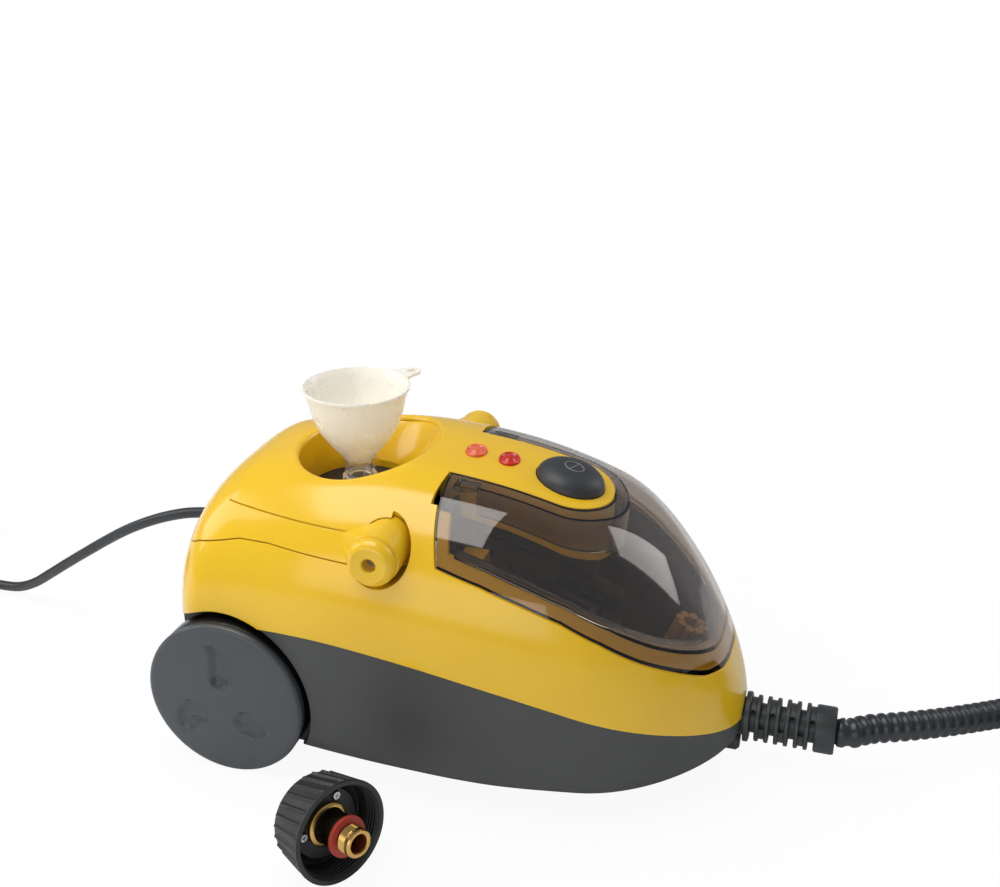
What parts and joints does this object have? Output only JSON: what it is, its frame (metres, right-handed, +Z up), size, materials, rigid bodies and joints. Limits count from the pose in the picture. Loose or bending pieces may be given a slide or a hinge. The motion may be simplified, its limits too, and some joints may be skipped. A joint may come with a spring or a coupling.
{
  "type": "wallpaper steamer",
  "caption": "Rolling canister wallpaper steamer with a filling funnel, lift-up carry handle, clear accessory lid, ribbed steam hose with a gun, mains cord and loose safety cap.",
  "frame": {"origin": "on the floor, midway between the two rear wheels", "axes": "+X forward from the rear axle to the nose and its hose outlet, +Y to the left, +Z up"},
  "size_m": [1.382, 0.413, 0.244],
  "materials": {
    "housing_yellow": "glossy moulded plastic",
    "shell_grey": "satin moulded plastic",
    "wheel_grey": "satin moulded plastic",
    "handle_yellow": "glossy moulded plastic",
    "lid_smoke": "clear smoked plastic",
    "tray_dark": "matte moulded plastic",
    "steel": "bright steel",
    "copper_pipe": "drawn tube",
    "brass": "turned brass",
    "chrome_screw": "polished",
    "black_plastic": "matte moulded plastic",
    "button_grey": "satin moulded plastic",
    "lamp_red": "clear red moulded plastic",
    "funnel_cream": "glossy moulded plastic",
    "washer_red": "soft rubber",
    "seal_rubber": "soft rubber",
    "cord_rubber": "smooth cord sheath",
    "hose_rubber": "ribbed hose",
    "guard_rubber": "flexible bend guard",
    "bristle": "stiff bristle",
    "trigger_red": "glossy moulded plastic"
  },
  "bodies": {
    "housing": {"lower_shell": "shell_grey", "upper_shell": "housing_yellow", "well_floor": "tray_dark", "filler_neck": "brass", "neck_seal": "seal_rubber", "boiler_left": "steel", "boiler_right": "steel", "boiler_band": "steel", "boiler_brackets": "steel", "heating_element": "steel", "element_clamp": "steel", "thermostat": "black_plastic", "thermal_fuse": "black_plastic", "steam_elbow": "brass", "steam_pipe": "copper_pipe", "accessory_tray": "tray_dark", "tray_block": "housing_yellow", "brush_body": "black_plastic", "brush_bristles": "bristle", "spare_nozzles": "black_plastic", "switch_body": "black_plastic", "lamp_holders": "black_plastic", "heat_lamp_lens": "lamp_red", "power_lamp_lens": "lamp_red", "spine_cover": "tray_dark", "rear_axle": "steel", "axle_brackets": "shell_grey", "axle_clips": "steel", "shell_screws": "steel", "hinge_pins": "steel", "pivot_pins": "steel", "hose_guard": "guard_rubber", "cord_guard": "guard_rubber", "button_spring": "steel", "steam_hose": "hose_rubber", "hose_coil": "hose_rubber", "mains_cord": "cord_rubber", "mains_coil": "cord_rubber", "mains_plug": "black_plastic", "gun_lower": "black_plastic", "gun_upper": "black_plastic", "gun_nozzle": "black_plastic"},
    "carry_handle": {"handle_bow": "handle_yellow", "handle_hubs": "handle_yellow"},
    "left_wheel": {"wheel_left": "wheel_grey", "cover_left": "wheel_grey"},
    "right_wheel": {"wheel_right": "wheel_grey", "cover_right": "wheel_grey"},
    "castor_swivel": {"castor_fork": "shell_grey", "castor_pin": "steel"},
    "castor_roller": {"castor_wheel": "wheel_grey"},
    "accessory_lid": {"lid_shell": "lid_smoke", "lid_arms": "lid_smoke"},
    "switch_button": {"power_button": "button_grey"},
    "filling_funnel": {"funnel": "funnel_cream"},
    "cap_core": {"cap_stem": "brass", "cap_washer": "washer_red"},
    "cap_grip": {"cap_knob": "black_plastic", "cap_screws": "chrome_screw"},
    "trigger": {"gun_trigger": "trigger_red"}
  },
  "joints": [
    {"name": "handle_lift", "type": "hinge", "parent": "housing", "child": "carry_handle", "pos_m": [0.1075, 0, 0.1735], "axis": [0, 1, 0], "range_deg": [0, 100]},
    {"name": "left_wheel_spin", "type": "hinge", "parent": "housing", "child": "left_wheel", "pos_m": [0, 0.1015, 0.056], "axis": [0, 1, 0], "continuous": true},
    {"name": "right_wheel_spin", "type": "hinge", "parent": "housing", "child": "right_wheel", "pos_m": [0, -0.1015, 0.056], "axis": [0, 1, 0], "continuous": true},
    {"name": "castor_turn", "type": "hinge", "parent": "housing", "child": "castor_swivel", "pos_m": [0.268, 0, 0.03], "axis": [0, 0, 1], "continuous": true},
    {"name": "castor_roll", "type": "hinge", "parent": "castor_swivel", "child": "castor_roller", "pos_m": [0.26, 0, 0.013], "axis": [0, 1, 0], "continuous": true},
    {"name": "lid_hinge", "type": "hinge", "parent": "housing", "child": "accessory_lid", "pos_m": [0.142, 0, 0.19937], "axis": [0, -1, 0], "range_deg": [0, 70]},
    {"name": "switch_press", "type": "slide", "parent": "housing", "child": "switch_button", "axis": [-0.2472, 0, -0.969], "range_m": [0, 0.003], "stiffness_N_per_m": 700, "springref_m": -0.002, "deforming": ["button_spring"]},
    {"name": "funnel_lift", "type": "slide", "parent": "housing", "child": "filling_funnel", "axis": [0, 0, 1], "range_m": [0, 0.12]},
    {"name": "cap_lift", "type": "slide", "parent": "housing", "child": "cap_core", "axis": [0, 0, 1], "range_m": [0, 0.1]},
    {"name": "cap_grip_turn", "type": "hinge", "parent": "cap_core", "child": "cap_grip", "pos_m": [0.1148, -0.1875, 0.03258], "axis": [0.873, -0.474, 0.1152], "continuous": true},
    {"name": "trigger_pull", "type": "hinge", "parent": "housing", "child": "trigger", "pos_m": [0.754, -0.17, 0.02], "axis": [0, 0, -1], "range_deg": [0, 9], "stiffness_Nm_per_rad": 0.5, "springref_deg": -11.46}
  ]
}
